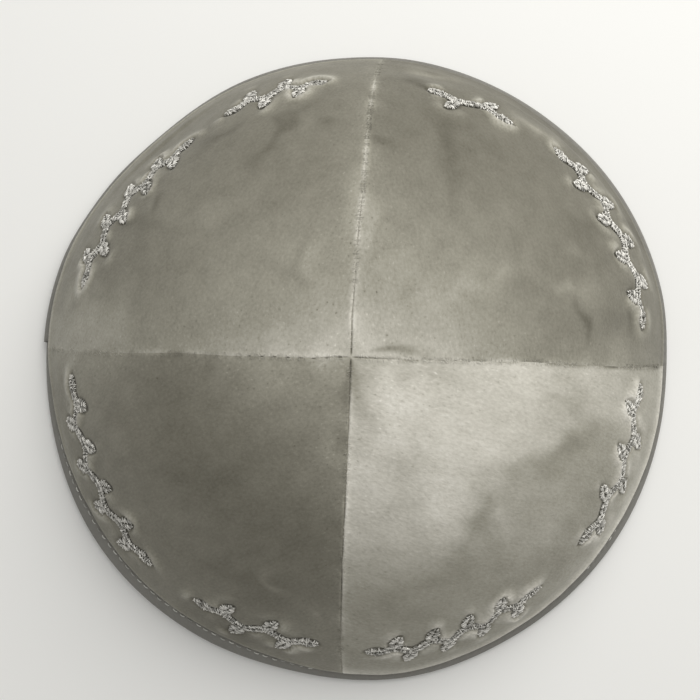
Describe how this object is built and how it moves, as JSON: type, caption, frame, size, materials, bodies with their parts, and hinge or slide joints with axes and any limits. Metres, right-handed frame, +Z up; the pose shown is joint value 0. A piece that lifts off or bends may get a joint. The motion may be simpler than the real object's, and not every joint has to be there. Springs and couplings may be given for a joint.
{
  "type": "kippah skullcap",
  "caption": "Round shallow skullcap of sewn velvet panels with a taped rim and a band of silver sprig embroidery, open below for the crown of the head.",
  "frame": {"origin": "middle of the rim's box on the surface that the rim rests on", "axes": "+Z up through the crown; +Y towards the panels called back, the upper edge of the picture"},
  "size_m": [0.1815, 0.1812, 0.055],
  "materials": {
    "velvet": "short grey pile whose tone changes with the way it lies",
    "tape": "matt woven bias tape",
    "silver_thread": "metallic silver embroidery thread"
  },
  "bodies": {
    "root": {"panel_back_right": "velvet", "panel_back_left": "velvet", "panel_front_left": "velvet", "panel_front_right": "velvet", "rim_binding": "tape", "embroidery_back_right_1": "silver_thread", "embroidery_back_right_2": "silver_thread", "embroidery_back_left_1": "silver_thread", "embroidery_back_left_2": "silver_thread", "embroidery_front_left_1": "silver_thread", "embroidery_front_left_2": "silver_thread", "embroidery_front_right_1": "silver_thread", "embroidery_front_right_2": "silver_thread"}
  },
  "joints": []
}
